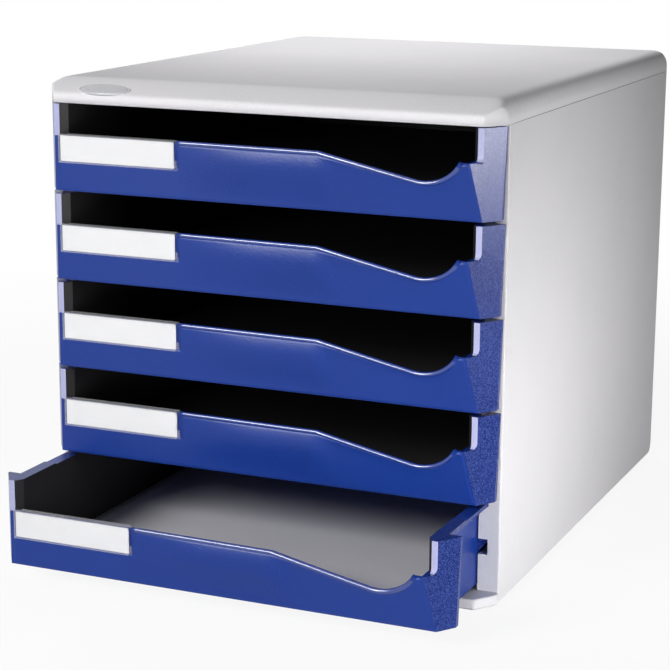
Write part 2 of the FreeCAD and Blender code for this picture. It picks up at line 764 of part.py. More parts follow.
profile = make_profile()
side_panel = make_side_panel(profile)
pieces = [make_lid(), make_badge(), make_base(profile), make_feet(), side_panel,
          mirror_image(side_panel, "left_side_panel"), make_back()]
tray_form = make_bead(make_tray())
forms = {"tray": tray_form, "label_holder": make_holder(), "label_card": make_card(), "mat": make_mat()}
for drawer in range(1, DRAWER_COUNT + 1):
    for kind, form in forms.items():
        pieces.append(placed(form, drawer, kind))
doc.recompute()

faults = [item.Label for item in doc.Objects if {"Invalid", "Error"} & set(item.State)]
faults += [item.Label for item in pieces if item.Shape.isNull() or not item.Shape.isValid()]
if faults:
    raise RuntimeError("failed: " + ", ".join(faults))

os.makedirs("parts", exist_ok=True)
for item in pieces:
    item.Shape.exportStep("parts/%s.step" % item.Label)
    print("%-24s %8.1f cm3 %2d solid(s)" % (item.Label, item.Shape.Volume / 1000, len(item.Shape.Solids)))
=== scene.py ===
# %% [markdown]
# # A desktop drawer organizer, dressed for its portrait
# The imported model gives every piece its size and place, in metres.
# This script keeps those shapes and adds what a mould, a rubber press and a
# paper mill leave on them: soft edges, grain, gloss and a little waviness.

# %% Load the frame
import json
from math import radians

import bmesh
import bpy
import numpy as np
from mathutils import Matrix, Vector

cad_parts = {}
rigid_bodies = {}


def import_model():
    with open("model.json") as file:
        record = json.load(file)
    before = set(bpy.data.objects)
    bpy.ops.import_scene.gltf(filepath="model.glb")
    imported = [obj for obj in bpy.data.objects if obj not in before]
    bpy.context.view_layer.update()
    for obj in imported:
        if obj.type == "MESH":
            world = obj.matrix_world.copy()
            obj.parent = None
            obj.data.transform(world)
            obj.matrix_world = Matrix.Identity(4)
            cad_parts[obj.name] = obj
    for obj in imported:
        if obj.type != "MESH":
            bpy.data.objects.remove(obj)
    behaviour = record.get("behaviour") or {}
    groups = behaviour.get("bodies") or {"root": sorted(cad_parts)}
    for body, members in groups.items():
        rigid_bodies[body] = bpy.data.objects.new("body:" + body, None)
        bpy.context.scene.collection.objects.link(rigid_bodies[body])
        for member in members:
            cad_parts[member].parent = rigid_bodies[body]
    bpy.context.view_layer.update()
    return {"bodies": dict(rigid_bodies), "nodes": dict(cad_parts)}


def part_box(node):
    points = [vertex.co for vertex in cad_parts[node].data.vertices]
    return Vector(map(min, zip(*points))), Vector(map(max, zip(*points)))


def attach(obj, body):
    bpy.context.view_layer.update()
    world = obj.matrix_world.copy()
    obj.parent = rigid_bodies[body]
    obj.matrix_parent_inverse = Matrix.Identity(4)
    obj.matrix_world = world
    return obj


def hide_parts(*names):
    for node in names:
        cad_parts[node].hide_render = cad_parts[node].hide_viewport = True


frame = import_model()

MM = 0.001
nodes = frame["nodes"]
drawer_bodies = [name for name in frame["bodies"] if name.startswith("drawer_")]
print("pieces:", len(nodes), "drawers:", len(drawer_bodies))

# %% [markdown]
# ## Colours
# Plastics, papers and rubbers are picked as the hex colours of a screen.
# A shader works in linear light, so one function turns one into the other.

# %% Hex colour to linear light
def linear(hex_colour):
    """Each channel c of the hex colour, 0 to 1, becomes ((c + 0.055) / 1.055) ** 2.4, or c / 12.92 when it
    is dark."""
    channels = np.array([int(hex_colour[i:i + 2], 16) for i in (1, 3, 5)]) / 255
    light = np.where(channels > 0.04045, ((channels + 0.055) / 1.055) ** 2.4, channels / 12.92)
    return (*light.tolist(), 1.0)


print("housing grey in linear light:", [round(c, 3) for c in linear("#eceaed")])

# %% [markdown]
# ## One helper for every node
# A material is a small graph. Writing each node with its settings and its
# links in one line keeps the graph readable, so one helper adds every node.
# A second one only starts an empty material.

# %% Add a node with its settings and links
def add_node(tree, kind, links=None, **settings):
    """New node. Settings are its own properties or its inputs' values, and links go to inputs by name or by
    number."""
    node = tree.nodes.new("ShaderNode" + kind)
    for name, value in settings.items():
        if hasattr(node, name):
            setattr(node, name, value)
        else:
            node.inputs[name.replace("_", " ")].default_value = value
    for socket, source in (links or {}).items():
        tree.links.new(source, node.inputs[socket])
    return node


def new_material(name):
    """Empty material with its output node."""
    material = bpy.data.materials.new(name)
    material.use_nodes = True
    material.node_tree.nodes.clear()
    return material, material.node_tree


print("one helper for nodes, one for materials")

# %% [markdown]
# ## Moulded polystyrene
# The housing and the trays are injection-moulded polystyrene. The mould is
# spark-eroded, which leaves a grain of about half a millimetre, drawn here
# at 0.8 to 1 mm so that it shows. The plastic shrinks a little unevenly as
# it cools, which bends reflections very gently over some tens of
# millimetres. Three noises do it: one for the grain, one for the slow bend
# and one for the faint clouding of the colour where the melt flowed. A
# picture of grain could be wrapped round each piece instead, but a noise in
# the piece's own space needs no unwrapping.

# %% Moulded plastic with grain, slow waviness and clouding
POLYSTYRENE_IOR = 1.59
CLOUD_SIZE, WAVE_SIZE, WAVE_HEIGHT = 60 * MM, 35 * MM, 0.12 * MM


def moulded_plastic(name, colour, cloud_colour, roughness, grain_mm, grain_height_mm, gloss,
                    painted_glint_colour=None):
    """Dielectric whose normal is bent by two noises: the mould's grain, and the slow waves of shrinkage. The
    tops of the grain may have a paler colour, a painted highlight for glints of the lamps on the grain."""
    material, tree = new_material(name)
    place = add_node(tree, "TexCoord").outputs["Object"]
    cloud = add_node(tree, "TexNoise", {"Vector": place}, Scale=1 / CLOUD_SIZE, Detail=3.0)
    blend = add_node(tree, "MapRange", {"Value": cloud.outputs["Fac"]}, From_Min=0.35, From_Max=0.65)
    tint = add_node(tree, "Mix", {0: blend.outputs["Result"]}, data_type="RGBA")
    tint.inputs[6].default_value = linear(colour)
    tint.inputs[7].default_value = linear(cloud_colour)
    grain = add_node(tree, "TexNoise", {"Vector": place}, Scale=1 / (grain_mm * MM), Detail=1.0)
    tops = add_node(tree, "MapRange", {"Value": grain.outputs["Fac"]}, From_Min=0.48, From_Max=0.56)
    # Paler tops of the grain: a painted highlight, glints of the lamps.
    painted_glint_mix = add_node(tree, "Mix", {0: tops.outputs["Result"], 6: tint.outputs[2]}, data_type="RGBA")
    painted_glint_mix.inputs[7].default_value = linear(painted_glint_colour or colour)
    waves = add_node(tree, "TexNoise", {"Vector": place}, Scale=1 / WAVE_SIZE, Detail=1.0)
    slow = add_node(tree, "Bump", {"Height": waves.outputs["Fac"]}, Strength=1.0, Distance=WAVE_HEIGHT)
    fine = add_node(tree, "Bump", {"Height": grain.outputs["Fac"], "Normal": slow.outputs["Normal"]},
                    Strength=1.0, Distance=grain_height_mm * MM)
    rub = add_node(tree, "MapRange", {"Value": cloud.outputs["Fac"]}, From_Min=0.3, From_Max=0.7,
                   To_Min=roughness - 0.03, To_Max=roughness + 0.04)
    shader = add_node(tree, "BsdfPrincipled", {
        "Base Color": painted_glint_mix.outputs[2], "Roughness": rub.outputs["Result"], "Normal": fine.outputs["Normal"]},
        IOR=POLYSTYRENE_IOR, Specular_IOR_Level=gloss)
    add_node(tree, "OutputMaterial", {"Surface": shader.outputs[0]})
    return material


# %% Finishes of the moulded pieces
# Housing: as a fine matt mould leaves it, so it shows soft shades and no mirror image. Its gloss is nothing,
# because at a flat angle even a little would lay the white surroundings over the lid.
housing_plastic = moulded_plastic("satin_grey_polystyrene", "#eceaed", "#e7e6e8", roughness=0.5,
                                  grain_mm=0.9, grain_height_mm=0.010, gloss=0.0)
# Fronts: from a polished face of the mould whose slight orange peel spreads a lamp into a soft patch.
front_plastic = moulded_plastic("polished_blue_polystyrene", "#17388c", "#143484", roughness=0.35,
                                grain_mm=1.0, grain_height_mm=0.110, gloss=0.22)
# Bead of the grip: buffed smooth, so a thin bright line runs along it.
edge_plastic = moulded_plastic("buffed_blue_polystyrene", "#17388c", "#143484", roughness=0.15,
                               grain_mm=2.0, grain_height_mm=0.002, gloss=0.75)
# Wings and rims: spark-eroded and darker. The tops of the grain are painted paler, a painted highlight
# standing for glints of the lamps, which looks like speckle.
wing_plastic = moulded_plastic("grained_blue_polystyrene", "#10256b", "#122974", roughness=0.27,
                               grain_mm=0.8, grain_height_mm=0.040, gloss=0.15, painted_glint_colour="#36498f")
# Strips beside the opening: frosted, and painted a pale even blue, a painted highlight for the light on their
# faces, so they look pale from all sides.
highlit_strip_plastic = moulded_plastic("frosted_blue_painted_highlight", "#adafd4", "#a5a8d0", roughness=0.5,
                                grain_mm=1.0, grain_height_mm=0.010, gloss=0.4)
# Inside of the trays: painted shade, the same plastic drawn nearly black as it looks in deep shade.
shaded_inner_plastic = moulded_plastic("tray_inside_painted_shade", "#1b1a1c", "#18171a", roughness=0.55,
                                grain_mm=1.0, grain_height_mm=0.010, gloss=0.15)
print("moulded plastics:", [m.name for m in bpy.data.materials])

# %% [markdown]
# ## Soft edges on moulded pieces
# No mould makes a knife edge: every corner of a real moulding has a small
# radius, and it is that radius that catches the light. The CAD solids are
# kept as they are, and modifiers finish them: Weld joins their loose
# triangles, Bevel rounds each edge, and Weighted Normal keeps the large
# faces flat while the rounded edges shade smoothly.

# %% Round the edges of a piece
WELD_GAP = 0.002 * MM


def soften(piece, radius_mm, segments=2, angle=28):
    """Weld, bevel by angle and weight the normals by face area."""
    piece.data.shade_smooth()
    weld = piece.modifiers.new("Weld", "WELD")
    weld.merge_threshold = WELD_GAP
    bevel = piece.modifiers.new("Bevel", "BEVEL")
    bevel.width = radius_mm * MM
    bevel.segments = segments
    bevel.limit_method = "ANGLE"
    bevel.angle_limit = radians(angle)
    bevel.use_clamp_overlap = True
    bevel.harden_normals = False
    normals = piece.modifiers.new("Normals", "WEIGHTED_NORMAL")
    normals.keep_sharp = False
    return piece


def give(piece, *materials):
    """Put the materials in the piece's slots, in order."""
    piece.data.materials.clear()
    for material in materials:
        piece.data.materials.append(material)


for name, radius_mm in {"base_plate": 0.5, "right_side_panel": 0.4, "left_side_panel": 0.4,
                        "back_panel": 0.3}.items():
    give(soften(nodes[name], radius_mm), housing_plastic)
    print(name, "edges rounded to", radius_mm, "mm")

# %% [markdown]
# ## Trays
# Each tray is one moulding, but its parts of the mould were finished
# differently: the front is polished, and the slanted wings and the rims are
# grained, with paler tops of the grain as a painted highlight. The narrow strip
# beside the opening is frosted and painted pale, a painted highlight, and the
# inside is painted near black, painted shade. So each tray gets a copy whose
# faces are sorted by where they are and which way they point. The copy stands
# for the CAD solid, which stays in the physics.

# %% Copy a solid and join its triangles
FLAT_ANGLE = radians(0.4)


def joined_copy(node, name):
    """Copy of a CAD mesh with its doubles merged and its flat triangles dissolved into whole faces."""
    piece = bpy.data.objects.new(name, nodes[node].data.copy())
    bpy.context.scene.collection.objects.link(piece)
    shape = bmesh.new()
    shape.from_mesh(piece.data)
    bmesh.ops.remove_doubles(shape, verts=shape.verts, dist=WELD_GAP)
    bmesh.ops.dissolve_limit(shape, angle_limit=FLAT_ANGLE, verts=shape.verts, edges=shape.edges)
    shape.to_mesh(piece.data)
    shape.free()
    return piece


# %% Measure faces
def face_places(piece):
    """Centres and normals of the faces as two arrays, one row each."""
    count = len(piece.data.polygons)
    centres, normals = np.empty(count * 3, np.float32), np.empty(count * 3, np.float32)
    piece.data.polygons.foreach_get("center", centres)
    piece.data.polygons.foreach_get("normal", normals)
    return centres.reshape(-1, 3), normals.reshape(-1, 3)


def face_areas(piece):
    """Areas of the faces as one array."""
    size = np.empty(len(piece.data.polygons), np.float32)
    piece.data.polygons.foreach_get("area", size)
    return size


# %% Measures of a front in mm, heights below the top of its corner posts
FRONT_PLANE = -177.5
FRONT_TOP, FRONT_LOW = -18.5, -51.12
GRIP_START, GRIP_JOIN, GRIP_TROUGH, GRIP_PEAK = 38.0, 95.58, 101.0, 123.2
GRIP_RADIUS, GRIP_CENTRE = 26.0, -5.2
CORNER_ACROSS, CORNER_ALONG = 9.0, 13.0
VERTEX, CORNER_SLOPE = 133.5, CORNER_ACROSS / CORNER_ALONG
LABEL_RIGHT, LABEL_LOW = -51.5, -34.25
print("lowest point of the grip in mm:", GRIP_CENTRE - GRIP_RADIUS)


def smooth(low, high, x):
    """3 s^2 - 2 s^3 with s = (x - low) / (high - low), held between 0 and 1."""
    share = np.clip((x - low) / (high - low), 0, 1)
    return share * share * (3 - 2 * share)


def edge_height(x):
    """Top edge of the front: level, then a straight slope, then a round trough up to the peak, then level."""
    join = GRIP_CENTRE - np.sqrt(GRIP_RADIUS ** 2 - (GRIP_JOIN - GRIP_TROUGH) ** 2)
    slope = FRONT_TOP + (join - FRONT_TOP) * (x - GRIP_START) / (GRIP_JOIN - GRIP_START)
    reach = np.clip(np.abs(x - GRIP_TROUGH), 0, 0.95 * GRIP_RADIUS)  # short of the circle's upright part
    trough = GRIP_CENTRE - np.sqrt(GRIP_RADIUS ** 2 - reach ** 2)
    grip = np.where(x < GRIP_JOIN, slope, trough)
    return np.where((x < GRIP_START) | (x > GRIP_PEAK), FRONT_TOP, np.minimum(grip, FRONT_TOP))


# %% Sort the faces of a tray by finish
FRONT, WING, INSIDE, STRIP = 0, 1, 2, 3
# Borders of the finishes in mm: across from the middle, down from the posts' tops, or away from the mat
WING_START, STRIP_START, STRIP_END, STRIP_DROP = 129.0, 129.5, 134.0, 17.5
POST_START, POST_DROP, POST_BACK = 127.0, 30.0, 14.0
MAT_GAP, FRONT_GAP, UNDER_GAP, FRONT_WALL, LARGE = 1.3, 12.0, 0.2, 2.0, 6.0
CEILING = 1.0  # in metres, above all trays
LEVEL, STEEP, LEANING = 0.9, 0.7, 0.1  # how much of a face's normal points the way asked for


def finishes(tray, mat, top):
    """Finish of each face. Beyond 129 mm from the middle it is the wing's, and otherwise the front's. The
    large faces round the mat, and those of the corner posts that look at the middle, are the inside's. The
    narrow ones beside the opening that look forward are the strip's. The inside's colour is painted shade,
    and the strip's colour is a painted highlight."""
    mat_low, mat_high = mat
    inside_low = Vector((mat_low.x - MAT_GAP * MM, mat_low.y - FRONT_GAP * MM, mat_low.z - UNDER_GAP * MM))
    inside_high = Vector((mat_high.x + MAT_GAP * MM, mat_high.y + MAT_GAP * MM, CEILING))
    centre, normal = face_places(tray)
    across, upper = np.abs(centre[:, 0]), centre[:, 2]
    within = ((centre > np.array(inside_low)) & (centre < np.array(inside_high))).all(axis=1)
    large = face_areas(tray) > (LARGE * MM) ** 2
    behind = (normal[:, 1] > LEVEL) & (centre[:, 1] < mat_low.y + FRONT_WALL * MM)
    walls = (across > mat_high.x) & (centre[:, 0] * normal[:, 0] < -LEANING)
    back = (normal[:, 1] < -LEVEL) & (centre[:, 1] > mat_high.y)
    floor = (normal[:, 2] > LEVEL) & (upper < mat_high.z)
    kind = np.full(len(centre), FRONT, np.int32)
    kind[across > WING_START * MM] = WING
    kind[within & large & (behind | walls | back | floor)] = INSIDE
    beside = (across > STRIP_START * MM) & (across < STRIP_END * MM) & (upper > top - STRIP_DROP * MM)
    kind[beside & (normal[:, 1] < -STEEP)] = STRIP
    post = (across > POST_START * MM) & (centre[:, 1] < mat_low.y + POST_BACK * MM)
    post = post & (upper > top - POST_DROP * MM)
    kind[post & (normal[:, 0] * np.sign(centre[:, 0]) < -STEEP)] = INSIDE
    return kind


# %% Dress the five trays
for body in drawer_bodies:
    tray = joined_copy(body + "_tray", body + "_moulding")
    kind = finishes(tray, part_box(body + "_mat"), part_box(body + "_tray")[1].z)
    # The inside's colour is painted shade, and the strip's colour is a painted highlight.
    give(tray, front_plastic, wing_plastic, shaded_inner_plastic, highlit_strip_plastic)
    tray.data.polygons.foreach_set("material_index", kind)
    soften(tray, 0.35)
    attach(tray, body)
    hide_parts(body + "_tray")
    print(tray.name, "faces by finish:", np.bincount(kind, minlength=4).tolist())

# %% [markdown]
# ## Closed shells from arrays
# The pieces that follow are worked out as arrays of points. Blender takes
# such arrays as they are, so what a solid needs is done right after: double
# points become one, the pinholes where rings shrink to a point are filled,
# and every face is turned outwards. A sheet becomes a solid when a second
# grid lies behind it and one band of faces joins the two along the rim.

# %% Object from points and faces
def mesh_piece(name, points, faces):
    """Object at the origin from arrays of points and faces."""
    mesh = bpy.data.meshes.new(name)
    mesh.from_pydata(points.tolist(), [], faces.tolist())
    mesh.shade_smooth()
    piece = bpy.data.objects.new(name, mesh)
    bpy.context.scene.collection.objects.link(piece)
    return piece


# %% Solid from points and faces
MERGE_GAP = 0.001 * MM


def solid_piece(name, points, faces):
    """Object whose doubles are merged, whose small holes are filled and whose faces all look outwards."""
    piece = mesh_piece(name, points, faces)
    shape = bmesh.new()
    shape.from_mesh(piece.data)
    bmesh.ops.remove_doubles(shape, verts=shape.verts, dist=MERGE_GAP)
    bmesh.ops.dissolve_degenerate(shape, edges=shape.edges, dist=MERGE_GAP)
    bmesh.ops.holes_fill(shape, edges=[edge for edge in shape.edges if edge.is_boundary])
    bmesh.ops.recalc_face_normals(shape, faces=shape.faces)
    shape.to_mesh(piece.data)
    shape.free()
    piece.data.shade_smooth()
    return piece


# %% Close two equal grids along their rim
def closed_grid(name, outer, inner, columns, rows):
    """Shell of two grids numbered row by row, the inner one with its faces turned round, joined along the
    rim."""
    number = np.arange(columns * rows).reshape(rows, columns)
    corners = [number[:-1, :-1], number[:-1, 1:], number[1:, 1:], number[1:, :-1]]
    quads = np.stack(corners, axis=-1).reshape(-1, 4)
    rim = np.concatenate([number[0, :], number[1:, -1], number[-1, -2::-1], number[-2:0:-1, 0]])
    after = np.roll(rim, -1)
    shift = columns * rows
    side = np.stack([rim + shift, after + shift, after, rim], axis=-1)
    faces = np.concatenate([quads, quads[:, ::-1] + shift, side])
    return solid_piece(name, np.concatenate([outer, inner]), faces)


# %% [markdown]
# ## Pillowed fronts
# A drawer front isn't a flat board. It swells forward a little, turns back
# near its top edge, where it catches a soft band of light, and flares out to
# the rolled bead of the grip, which leaves a darker line under the bead.
# Sculpting could do this, but a formula is steadier: over the flat face of
# the CAD lies a thin closed skin whose swell depends only on the distance to
# the top edge, so the same curve follows the straight part and the grip
# alike.

# %% Lean of a front
LEAN_LEFT, LEAN_GROWTH, LEAN_START, LEAN_RUN = 1.2, 6.9, 53.0, 195.5


def lean(x):
    """How far the top of the front leans out: 1.2 mm at the label, growing in line to 8.1 mm at the right
    side."""
    return LEAN_LEFT + LEAN_GROWTH * np.clip((x + LEAN_START) / LEAN_RUN, 0, 1)


print("lean at the left and the right in mm:", lean(-VERTEX), lean(LEAN_RUN - LEAN_START))

# %% Skin over a front
# Swells in mm: of the middle, beside the label, in the grip, at the top edge and low on the face
SWELL, LABEL_SWELL, GRIP_SWELL, EDGE_SWELL, LOW_SWELL = 2.5, 0.35, 0.3, 0.4, 0.3
# Stretches below the top edge over which the skin rolls back and sinks, and across where the swell changes
ROLL_WIDTH, SINK_WIDTH, SWELL_START, GRIP_BEFORE, GRIP_AFTER = 10.0, 20.0, -60, 6, 14
FLARE, FLARE_FADE = 0.9, 2.2  # how far the skin flares out under the bead, and the height that it fades over
# How far the skin keeps from the borders of the face, and over what widths it swells up from them
LEFT_GAP, RIGHT_GAP, TOP_GAP, LOW_GAP = 1.2, 0.4, 0.25, 0.3
LEFT_FADE, RIGHT_FADE, LOW_FADE, LABEL_FADE = 3, 2, 1.2, 1.2
# How deep the skin's border, its place behind the label and its back lie behind the plane
BORDER_DEPTH, LABEL_DEPTH, BACK_DEPTH = 0.3, 0.5, 0.6


def front_skin(name, top, shift, columns=261, rows=44):
    """Closed skin over a front. At a distance n from the top edge it stands proud of the leaning plane by
    c - (c - 0.4) ((10 - n) / 10)^2 while n < 10, and sinks to 0.3 over the next 20 mm. The crown c grows from
    0.35 mm beside the label to 2.5 mm at the middle. In the grip c is 0.3 mm, and the skin flares out to meet
    the bead, by 0.9 e^(-n / 2.2). The borders turn back into the tray, and so does the place of the label."""
    u, v = np.meshgrid(np.linspace(0, 1, columns), 1 - np.linspace(1, 0, rows) ** 1.5)
    left = -VERTEX + LEFT_GAP
    x = left + (VERTEX - RIGHT_GAP - left) * u
    for _ in range(3):  # the right border and the heights depend on each other, and three rounds settle them
        edge = edge_height(x) - TOP_GAP
        z = edge + (FRONT_LOW + LOW_GAP - edge) * v
        share = (z - FRONT_LOW) / (FRONT_TOP - FRONT_LOW)
        right = VERTEX - RIGHT_GAP - CORNER_SLOPE * lean(VERTEX - 3) * share
        x = left + (right - left) * u
    rise = edge_height(x + 0.5) - edge_height(x - 0.5)  # over one millimetre
    slope = np.where((x > GRIP_START) & (x < GRIP_PEAK), rise, 0)
    near = (edge - z) / np.sqrt(1 + slope ** 2)
    in_grip = smooth(GRIP_START - GRIP_BEFORE, GRIP_START + GRIP_AFTER, x)
    crown = LABEL_SWELL + (SWELL - LABEL_SWELL) * smooth(SWELL_START, 0, x)
    crown = crown + (GRIP_SWELL - crown) * in_grip
    bent = (np.clip(ROLL_WIDTH - near, 0, None) / ROLL_WIDTH) ** 2
    roll = crown - np.clip(crown - EDGE_SWELL, 0, None) * bent
    body = crown - (crown - LOW_SWELL) * smooth(ROLL_WIDTH, ROLL_WIDTH + SINK_WIDTH, near)
    flare = FLARE * np.exp(-near / FLARE_FADE)
    proud = np.where(near < ROLL_WIDTH, roll, body)
    proud = (proud + flare * in_grip) * smooth(0, RIGHT_FADE, right - x) * smooth(0, LEFT_FADE, x - left)
    proud = proud * np.sqrt(np.clip((z - FRONT_LOW - LOW_GAP) / LOW_FADE, 0, 1))
    on_label = smooth(LABEL_RIGHT + 0.6, LABEL_RIGHT - 0.1, x) * smooth(LABEL_LOW, LABEL_LOW + LABEL_FADE, z)
    proud = proud * (1 - on_label) - LABEL_DEPTH * on_label
    proud[[0, -1], :] = proud[:, [0, -1]] = -BORDER_DEPTH
    plane = FRONT_PLANE - lean(x) * share + shift
    outer = np.stack([x, plane - proud, z + top], axis=-1).reshape(-1, 3) * MM
    inner = np.stack([x, plane + BACK_DEPTH, z + top], axis=-1).reshape(-1, 3) * MM
    return closed_grid(name, outer, inner, columns, rows)


# %% [markdown]
# ## Lid
# The lid's sloping band, its slanted corners and its rolled sides run into
# each other softly, like pressed clay. Beveling the CAD edges would leave
# facets where many edges meet. A height formula has no such edges: each
# form says how far it drops below the top, and the largest drop wins, with
# a soft maximum that blends the borders by a few millimetres.

# %% Lid as a height over a grid
LID_TOP, LID_LOW, HALF_WIDTH, HALF_DEPTH = 290.0, 276.0, 142.5, 177.5
BAND_RUN, BAND_DROP, BAND_LINE, BAND_BEND = 19.0, 9.0, 0.86, 0.14
SIDE_ROUND, EDGE_ROUND, BACK_ROUND, SIDE_SET, SOFTNESS = 12.0, 2.2, 1.2, 0.8, 1.3
LID_WALL, INNER_HALF_WIDTH, BACK_FRAME, RIM_LEAST = 2.5, 129.5, 8.5, 0.4


def soft_maximum(drops, softness):
    """k log(sum of e^(d / k)) - k log(count), which is the largest of the drops d, blended over about 2 k."""
    total = sum(np.exp(drop / softness) for drop in drops)
    return softness * np.log(total) - softness * np.log(len(drops))


def quarter_round(distance, radius):
    """r - sqrt(r^2 - (r - d)^2) for a distance d from the edge under r, otherwise nothing."""
    inside = np.clip(radius - distance, 0, radius)
    return radius - np.sqrt(radius ** 2 - inside ** 2)


def half_span(y):
    """Half width at a depth y: full, but narrowing by 9 mm in a line over the first 13 mm from the front."""
    return HALF_WIDTH - CORNER_ACROSS * np.clip((y + HALF_DEPTH - CORNER_ALONG) / -CORNER_ALONG, 0, 1)


def spaced(count, power):
    """Steps from -1 to 1 that crowd towards both ends: the sign of t times 1 - (1 - |t|)^p."""
    t = np.linspace(-1, 1, count)
    return np.sign(t) * (1 - (1 - np.abs(t)) ** power)


def lid_shell(name, columns=141, rows=161):
    """Closed cap. Outer grid: z = top - soft maximum of the band's, side's, edge's and back's drops, and its
    border ring lies at the lid's underside. Inner grid: flat, 2.5 mm under the top, and within the walls."""
    u, v = np.meshgrid(spaced(columns, 2.2), spaced(rows, 2.0))
    y = HALF_DEPTH * v
    x = half_span(y) * u
    from_front, from_back = y + HALF_DEPTH, HALF_DEPTH - y
    from_side = half_span(y) - np.abs(x)
    run = np.clip(1 - from_front / BAND_RUN, 0, 1)
    band = BAND_DROP * (BAND_LINE * run + BAND_BEND * run ** 2)
    side = quarter_round(HALF_WIDTH - np.abs(x), SIDE_ROUND)
    edge = quarter_round(np.minimum(from_front, from_side + SIDE_SET), EDGE_ROUND) + band
    back = quarter_round(from_back, BACK_ROUND)
    drop = soft_maximum([band, side, edge, back], SOFTNESS)
    z = np.clip(LID_TOP - np.clip(drop, 0, None), LID_LOW + RIM_LEAST, None)
    ring = np.zeros_like(z, bool)
    ring[[0, -1], :] = ring[:, [0, -1]] = True
    outer = np.stack([x, y, np.where(ring, LID_LOW, z)], axis=-1)
    inner_x, inner_y = INNER_HALF_WIDTH * u, np.clip(y, -HALF_DEPTH + BAND_RUN, HALF_DEPTH - BACK_FRAME)
    inner = np.stack([inner_x, inner_y, np.where(ring, LID_LOW, LID_TOP - LID_WALL)], axis=-1)
    return closed_grid(name, outer.reshape(-1, 3) * MM, inner.reshape(-1, 3) * MM, columns, rows)


# %% Put the lid on
lid = lid_shell("lid_cap")
give(lid, housing_plastic)
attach(lid, "housing")
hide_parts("lid")
print("lid faces:", len(lid.data.polygons))

# %% [markdown]
# ## Bead along a grip
# The upper edge of a front ends in a thin rolled bead, the brightest line of
# a drawer. A curve with a round bevel would draw it, but cut off flat at
# both ends. So a ring of points is carried along the edge, and it shrinks to
# nearly nothing where the bead ends.

# %% Tube along a path
def tube(points, radii, across, sides=18):
    """Closed ring at each point of the path, p + r (cos t a + sin t b): a is across, and b is at a right
    angle to a and to the path. The ends' pinholes are filled by solid_piece."""
    points, across = np.asarray(points, float), np.asarray(across, float)
    along = np.gradient(points, axis=0)
    other = np.cross(along, across)
    other /= np.linalg.norm(other, axis=1, keepdims=True)
    turn = np.linspace(0, 2 * np.pi, sides, endpoint=False)[None, :, None]
    rings = np.asarray(radii)[:, None, None] * (np.cos(turn) * across + np.sin(turn) * other[:, None, :])
    rings = rings + points[:, None, :]
    ring = np.arange(rings.shape[0] * rings.shape[1]).reshape(rings.shape[:2])
    after = np.roll(ring, -1, axis=1)
    faces = np.stack([ring[:-1], ring[1:], after[1:], after[:-1]], axis=-1).reshape(-1, 4)
    return rings.reshape(-1, 3), faces


# %% Bead
BEAD_RADIUS, BEAD_END, NEARLY_NOTHING = 1.45, 1.2, 1e-5


def bead_line(name, top, shift, steps=220):
    """Tube of 1.45 mm radius along the front's upper outer edge, from the label to the peak of the grip. At a
    distance d from its ends the radius is that times the root of d / 1.2, while d < 1.2."""
    x = np.linspace(LABEL_RIGHT + 0.4, GRIP_PEAK - 0.3, steps)
    depth = FRONT_PLANE - lean(x) * (edge_height(x) - FRONT_LOW) / (FRONT_TOP - FRONT_LOW) + shift
    path = np.stack([x, depth, edge_height(x) + top], axis=-1)
    from_end = np.minimum(x - x[0], x[-1] - x)
    radii = BEAD_RADIUS * np.sqrt(np.clip(from_end / BEAD_END + NEARLY_NOTHING, 0, 1))
    points, faces = tube(path, radii, (0, -1, 0))
    return solid_piece(name, points * MM, faces)


# %% Lay a skin and a bead on each front
FRONT_REACH = 7.8  # how far a closed front comes before the plane, within a few millimetres
STEP = 10  # a drawer rests shut or open by a whole number of these, in mm
for body in drawer_bodies:
    low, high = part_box(body + "_tray")
    shift = round((low.y / MM - (FRONT_PLANE - FRONT_REACH)) / STEP) * STEP
    skin = front_skin(body + "_front_skin", high.z / MM, shift)
    give(skin, front_plastic)
    bead = bead_line(body + "_bead", high.z / MM, shift)
    give(bead, edge_plastic)
    for piece in (skin, bead):
        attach(piece, body)
    print(skin.name, "faces:", len(skin.data.polygons), "moved by", shift, "mm")

# %% [markdown]
# ## Label sleeves and cards
# The sleeves are moulded clear polystyrene, and the cards are plain white
# paper of about 160 grams, rolled smooth. Real refraction could draw the
# sleeve, but a clear wall of under a millimetre bends light too little to
# see, so a low alpha stands for it, and the card behind gives it its white.
# Paper is matt, with a felt of fibres a millimetre or two long and thinner
# than a hair, drawn here as streaks of 1 by 2.5 mm so that it shows at all.

# %% Clear sleeve
def clear_plastic(name):
    """Thin clear wall: mostly see-through, glossy, with a faint haze from handling."""
    material, tree = new_material(name)
    place = add_node(tree, "TexCoord").outputs["Object"]
    haze = add_node(tree, "TexNoise", {"Vector": place}, Scale=1 / (8 * MM), Detail=4.0)
    rub = add_node(tree, "MapRange", {"Value": haze.outputs["Fac"]}, From_Min=0.4, From_Max=0.7,
                   To_Min=0.06, To_Max=0.16)
    shader = add_node(tree, "BsdfPrincipled", {"Roughness": rub.outputs["Result"]},
                      Base_Color=linear("#f6f6fa"), IOR=POLYSTYRENE_IOR, Alpha=0.2)
    add_node(tree, "OutputMaterial", {"Surface": shader.outputs[0]})
    return material


